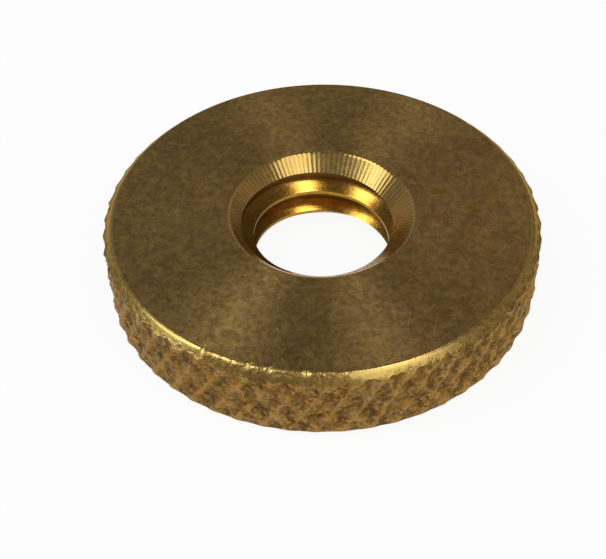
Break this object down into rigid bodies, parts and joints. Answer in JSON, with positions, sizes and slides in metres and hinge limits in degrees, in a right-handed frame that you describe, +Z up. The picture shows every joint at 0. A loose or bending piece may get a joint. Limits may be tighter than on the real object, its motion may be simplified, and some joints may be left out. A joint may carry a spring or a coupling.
{
  "type": "knurled thumb nut",
  "caption": "Flat round brass thumb nut with a diamond-knurled rim, chamfered edges and a countersunk threaded hole through its centre.",
  "frame": {"origin": "centre of the lower face, on the axis of the thread", "axes": "+Z up along the axis of the thread, out of the face with the large countersink; X and Y lie in the lower face"},
  "size_m": [0.0254, 0.0254, 0.0048],
  "materials": {
    "brass": "turned brass, dull olive tarnish on the faces, brighter on the chamfers and in the thread"
  },
  "bodies": {
    "root": {"knurled_nut": "brass"}
  },
  "joints": []
}
